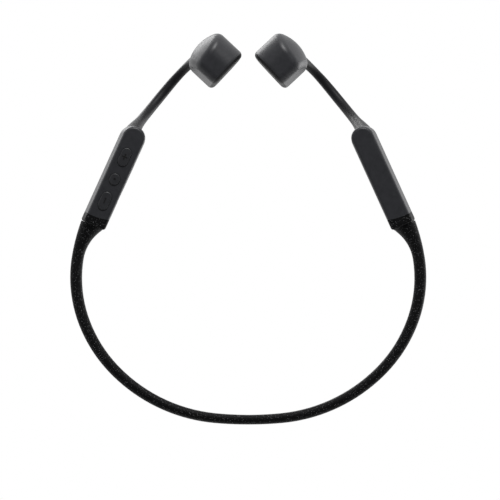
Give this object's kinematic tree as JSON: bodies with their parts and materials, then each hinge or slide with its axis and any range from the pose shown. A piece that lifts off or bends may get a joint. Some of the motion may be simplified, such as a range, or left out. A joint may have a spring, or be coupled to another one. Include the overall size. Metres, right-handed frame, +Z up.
{
  "type": "bone conduction headphones",
  "caption": "Open-ear bone conduction headphones: a springy neckband joins a battery box and a control box, with ear hooks that hold transducer pods on the cheekbones.",
  "frame": {"origin": "centre of the bounding box, at the level of the lowest points of the neckband and the pods", "axes": "+Z up as worn, the wearer looks along -Y and the wearer's left is +X; the band's closed end is at +Y"},
  "size_m": [0.125, 0.1373, 0.0441],
  "materials": {
    "band_silicone": "fine matte, faint pale specks",
    "hook_silicone": "satin",
    "pad_silicone": "matte",
    "shell": "soft-touch satin",
    "cover": "fine matte",
    "keys": "satin",
    "spring_wire": null,
    "cable": "satin insulation",
    "seal": "matte",
    "clamp": "moulded",
    "spring_steel": "rolled sheet",
    "coil_copper": null,
    "magnet": "nickel plated",
    "yoke_steel": "pressed steel",
    "cell_foil": "pouch foil",
    "board": "green solder mask",
    "chip": "moulded epoxy",
    "mesh": "woven mesh",
    "contact_gold": "gold plated",
    "light_pipe": "frosted clear"
  },
  "bodies": {
    "neckband": {"neckband_cable": "cable", "neckband_sleeve": "band_silicone", "neckband_wire": "spring_wire"},
    "left_pod": {"left_pod_shell": "shell", "left_contact_pad": "pad_silicone", "left_face_plate": "clamp", "left_spring_plate": "spring_steel", "left_voice_coil": "coil_copper", "left_driver_magnet": "magnet", "left_driver_yoke": "yoke_steel"},
    "left_side": {"left_box_cover": "cover", "left_box_seal": "seal", "left_box_shell": "shell", "left_end_boot": "band_silicone", "left_hook_cable": "cable", "left_hook_sleeve": "hook_silicone", "left_hook_wire": "spring_wire", "left_wire_clamps": "clamp", "battery": "cell_foil", "battery_board": "board"},
    "right_pod": {"right_pod_shell": "shell", "right_contact_pad": "pad_silicone", "right_face_plate": "clamp", "right_spring_plate": "spring_steel", "right_voice_coil": "coil_copper", "right_driver_magnet": "magnet", "right_driver_yoke": "yoke_steel"},
    "right_side": {"right_box_cover": "cover", "right_box_seal": "seal", "right_box_shell": "shell", "right_end_boot": "band_silicone", "right_hook_cable": "cable", "right_hook_sleeve": "hook_silicone", "right_hook_wire": "spring_wire", "right_wire_clamps": "clamp", "main_board": "board", "board_chips": "chip", "key_switches": "spring_steel", "microphone": "spring_steel", "microphone_mesh": "mesh", "charge_contacts": "contact_gold", "contact_magnets": "magnet", "status_light": "light_pipe"},
    "volume_up_key": {"volume_up_button": "keys"},
    "multifunction_key": {"multifunction_button": "keys"},
    "volume_down_key": {"volume_down_button": "keys"}
  },
  "joints": [
    {"name": "left_band_flex", "type": "hinge", "parent": "neckband", "child": "left_side", "pos_m": [0.038, 0.0525, 0.003], "axis": [0, 0, 1], "range_deg": [0, 25], "stiffness_Nm_per_rad": 0.45, "deforming": ["neckband_sleeve", "neckband_wire", "neckband_cable"]},
    {"name": "right_band_flex", "type": "hinge", "parent": "neckband", "child": "right_side", "pos_m": [-0.038, 0.0525, 0.003], "axis": [0, 0, -1], "range_deg": [0, 25], "stiffness_Nm_per_rad": 0.45, "deforming": ["neckband_sleeve", "neckband_wire", "neckband_cable"]},
    {"name": "left_hook_flex", "type": "hinge", "parent": "left_side", "child": "left_pod", "pos_m": [0.0288, -0.05051, 0], "axis": [0, 0, 1], "range_deg": [-3, 12], "stiffness_Nm_per_rad": 0.15, "deforming": ["left_hook_sleeve", "left_hook_wire", "left_hook_cable"]},
    {"name": "right_hook_flex", "type": "hinge", "parent": "right_side", "child": "right_pod", "pos_m": [-0.0288, -0.05051, 0], "axis": [0, 0, -1], "range_deg": [-3, 12], "stiffness_Nm_per_rad": 0.15, "deforming": ["right_hook_sleeve", "right_hook_wire", "right_hook_cable"]},
    {"name": "volume_up_press", "type": "slide", "parent": "right_side", "child": "volume_up_key", "axis": [0, 0, 1], "range_m": [0, 0.0003], "stiffness_N_per_m": 4000},
    {"name": "multifunction_press", "type": "slide", "parent": "right_side", "child": "multifunction_key", "axis": [0, 0, 1], "range_m": [0, 0.0003], "stiffness_N_per_m": 4000},
    {"name": "volume_down_press", "type": "slide", "parent": "right_side", "child": "volume_down_key", "axis": [0, 0, 1], "range_m": [0, 0.0003], "stiffness_N_per_m": 4000}
  ]
}
